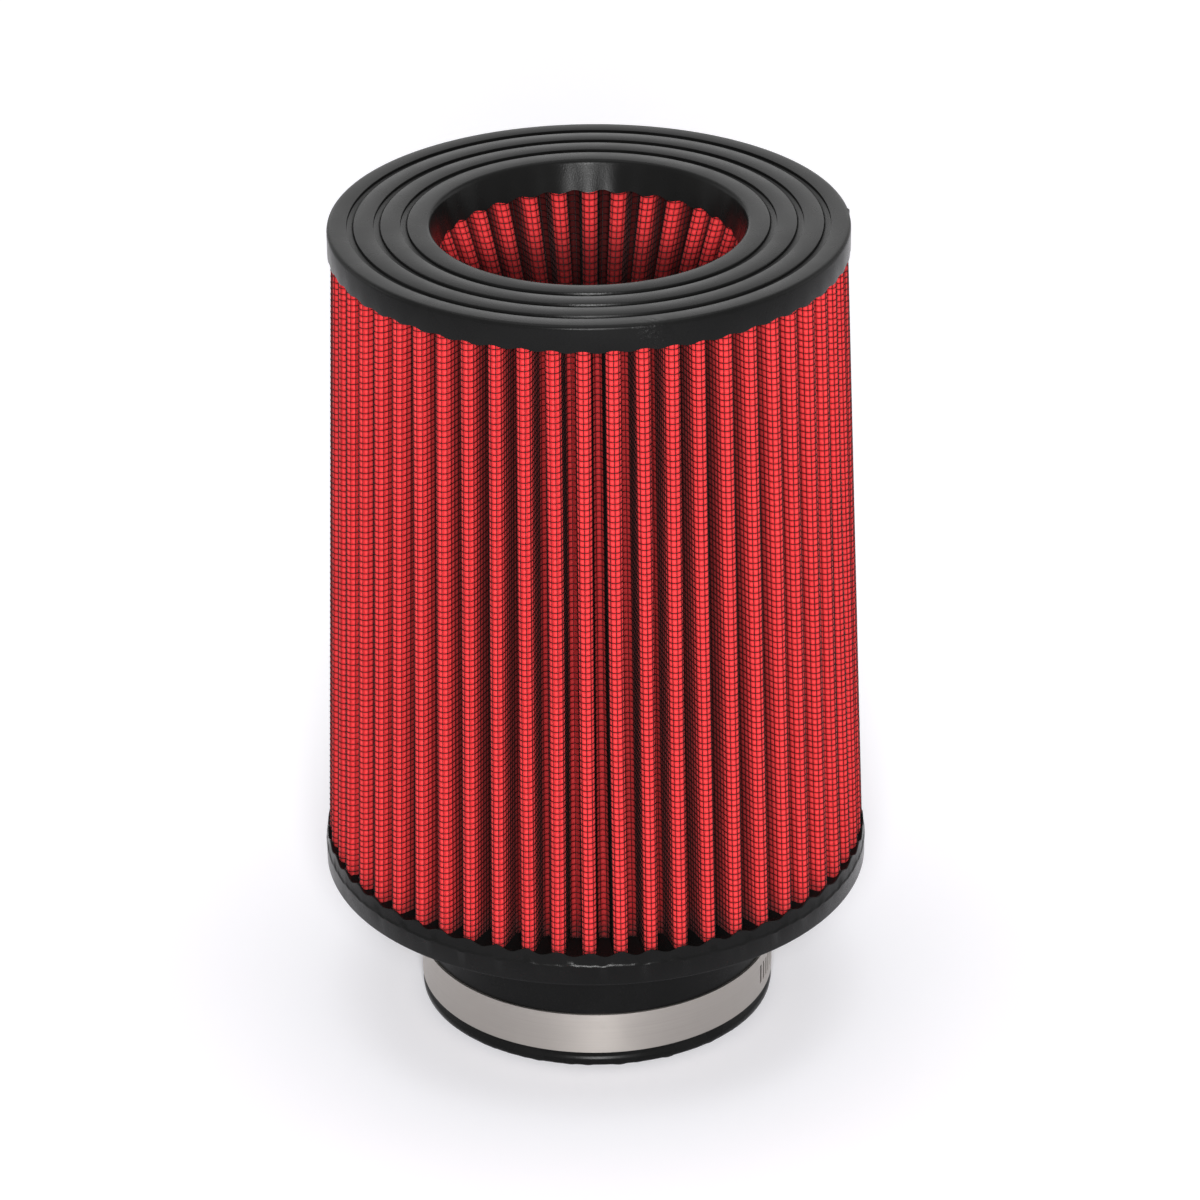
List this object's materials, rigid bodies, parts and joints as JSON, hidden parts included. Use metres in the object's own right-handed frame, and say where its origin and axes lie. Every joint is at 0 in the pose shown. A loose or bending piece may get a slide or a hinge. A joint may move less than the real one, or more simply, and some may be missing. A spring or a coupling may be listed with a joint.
{
  "type": "conical air filter",
  "caption": "Clamp-on conical engine air filter with red pleated gauze under a wire screen, a grooved top cap with an inverted pleated cone, and a moulded neck with a worm-drive clamp.",
  "frame": {"origin": "centre of the open end of the neck, on the plane it stands on", "axes": "+Z along the filter's axis from the neck to the top cap, -Y towards the camera of the picture"},
  "size_m": [0.159, 0.159, 0.245],
  "materials": {
    "black_polyurethane": "satin moulded black",
    "wire_screen": "black epoxy-coated wire",
    "red_gauze": "oiled red cotton gauze",
    "stainless": "rolled stainless strip"
  },
  "bodies": {
    "filter": {"base_cap": "black_polyurethane", "outer_screen": "wire_screen", "outer_media": "red_gauze", "cone_screen": "wire_screen", "cone_media": "red_gauze", "cone_plug": "black_polyurethane", "top_cap": "black_polyurethane", "clamp_band": "stainless", "clamp_housing": "stainless"},
    "screw": {"clamp_screw": "stainless"}
  },
  "joints": [
    {"name": "screw_turn", "type": "hinge", "parent": "filter", "child": "screw", "pos_m": [0.02817, 0.0488, 0.01155], "axis": [-0.866, 0.5, 0], "continuous": true}
  ]
}
